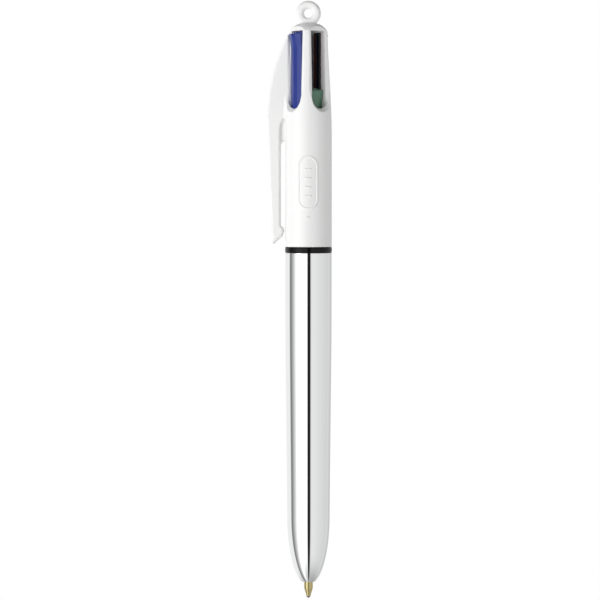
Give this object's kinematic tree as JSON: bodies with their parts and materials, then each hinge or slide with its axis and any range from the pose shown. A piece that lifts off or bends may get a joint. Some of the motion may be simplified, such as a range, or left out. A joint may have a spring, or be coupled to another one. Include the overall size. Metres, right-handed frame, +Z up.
{
  "type": "multicolour ballpoint pen",
  "caption": "Retractable multicolour ballpoint pen with slotted head, side pushers, clip, lanyard loop and mirror-finish lower barrel.",
  "frame": {"origin": "the writing point of the extended refill, on the pen's axis", "axes": "+Z up the pen's axis towards the lanyard loop; the clip is on -X; -Y is the face with the blue (left) and green (right) pushers"},
  "size_m": [0.0161, 0.0118, 0.1484],
  "materials": {
    "white_plastic": "gloss moulded ABS",
    "black_trim": "gloss moulded",
    "inner_plastic": "moulded acetal",
    "chrome": "mirror, metallised plastic",
    "blue_plastic": "gloss moulded",
    "green_plastic": "gloss moulded",
    "black_plastic": "gloss moulded",
    "red_plastic": "gloss moulded",
    "blue_refill": "translucent tube filled with blue ink",
    "green_refill": "translucent tube filled with green ink",
    "black_refill": "translucent tube filled with black ink",
    "red_refill": "translucent tube filled with red ink",
    "spring_steel": "bright drawn wire",
    "brass": "turned and polished",
    "carbide": "polished tungsten carbide"
  },
  "bodies": {
    "root": {"upper_barrel": "white_plastic", "trim_ring": "black_trim", "spring_plate": "inner_plastic", "blue_spring": "spring_steel", "green_spring": "spring_steel", "black_spring": "spring_steel", "red_spring": "spring_steel"},
    "lower_barrel": {"lower_barrel": "chrome"},
    "blue_refill": {"blue_refill_tube": "blue_refill"},
    "blue_pusher": {"blue_pusher": "blue_plastic"},
    "blue_point": {"blue_tip": "brass", "blue_ball": "carbide"},
    "green_refill": {"green_refill_tube": "green_refill"},
    "green_pusher": {"green_pusher": "green_plastic"},
    "green_point": {"green_tip": "brass", "green_ball": "carbide"},
    "black_refill": {"black_refill_tube": "black_refill"},
    "black_pusher": {"black_pusher": "black_plastic"},
    "black_point": {"black_tip": "brass", "black_ball": "carbide"},
    "red_refill": {"red_refill_tube": "red_refill"},
    "red_pusher": {"red_pusher": "red_plastic"},
    "red_point": {"red_tip": "brass", "red_ball": "carbide"}
  },
  "joints": [
    {"name": "barrel_unscrew", "type": "slide", "parent": "root", "child": "lower_barrel", "axis": [0, 0, -1], "range_m": [0, 0.007]},
    {"name": "blue_press", "type": "slide", "parent": "root", "child": "blue_refill", "axis": [0, 0, 1], "range_m": [-0.014, 0], "deforming": ["blue_spring", "blue_refill_tube"]},
    {"name": "blue_lean", "type": "hinge", "parent": "blue_refill", "child": "blue_pusher", "pos_m": [-0.00226, -0.00226, 0.11], "axis": [-0.7071, 0.7071, 0], "range_deg": [0, 2.68]},
    {"name": "blue_aim", "type": "slide", "parent": "blue_refill", "child": "blue_point", "axis": [0.7071, 0.7071, 0], "range_m": [0, 0.00321]},
    {"name": "green_press", "type": "slide", "parent": "root", "child": "green_refill", "axis": [0, 0, 1], "range_m": [0, 0.014], "deforming": ["green_spring", "green_refill_tube"]},
    {"name": "green_lean", "type": "hinge", "parent": "green_refill", "child": "green_pusher", "pos_m": [0.00226, -0.00226, 0.096], "axis": [-0.7071, -0.7071, 0], "range_deg": [-2.68, 0]},
    {"name": "green_aim", "type": "slide", "parent": "green_refill", "child": "green_point", "axis": [-0.7071, 0.7071, 0], "range_m": [-0.00321, 0]},
    {"name": "black_press", "type": "slide", "parent": "root", "child": "black_refill", "axis": [0, 0, 1], "range_m": [-0.006, 0], "stiffness_N_per_m": 150, "springref_m": 0.004, "deforming": ["black_spring", "black_refill_tube"]},
    {"name": "black_lean", "type": "hinge", "parent": "black_refill", "child": "black_pusher", "pos_m": [0.00226, 0.00226, 0.11], "axis": [0.7071, -0.7071, 0], "range_deg": [0, 1.16]},
    {"name": "black_aim", "type": "slide", "parent": "black_refill", "child": "black_point", "axis": [-0.7071, -0.7071, 0], "range_m": [0, 0.00059]},
    {"name": "red_press", "type": "slide", "parent": "root", "child": "red_refill", "axis": [0, 0, 1], "range_m": [-0.006, 0], "stiffness_N_per_m": 150, "springref_m": 0.004, "deforming": ["red_spring", "red_refill_tube"]},
    {"name": "red_lean", "type": "hinge", "parent": "red_refill", "child": "red_pusher", "pos_m": [-0.00226, 0.00226, 0.11], "axis": [0.7071, 0.7071, 0], "range_deg": [0, 1.16]},
    {"name": "red_aim", "type": "slide", "parent": "red_refill", "child": "red_point", "axis": [0.7071, -0.7071, 0], "range_m": [0, 0.00059]}
  ],
  "couplings": [
    {"joint": "blue_lean", "follows": "blue_press", "rad_per_m": -3.3161},
    {"joint": "blue_aim", "follows": "blue_press", "ratio": -0.22857},
    {"joint": "green_press", "follows": "blue_press", "ratio": -1},
    {"joint": "green_lean", "follows": "blue_press", "rad_per_m": 3.3161},
    {"joint": "green_aim", "follows": "blue_press", "ratio": 0.22857},
    {"joint": "black_lean", "follows": "black_press", "rad_per_m": -3.3161},
    {"joint": "black_aim", "follows": "black_press", "ratio": -0.096667},
    {"joint": "red_lean", "follows": "red_press", "rad_per_m": -3.3161},
    {"joint": "red_aim", "follows": "red_press", "ratio": -0.096667}
  ]
}
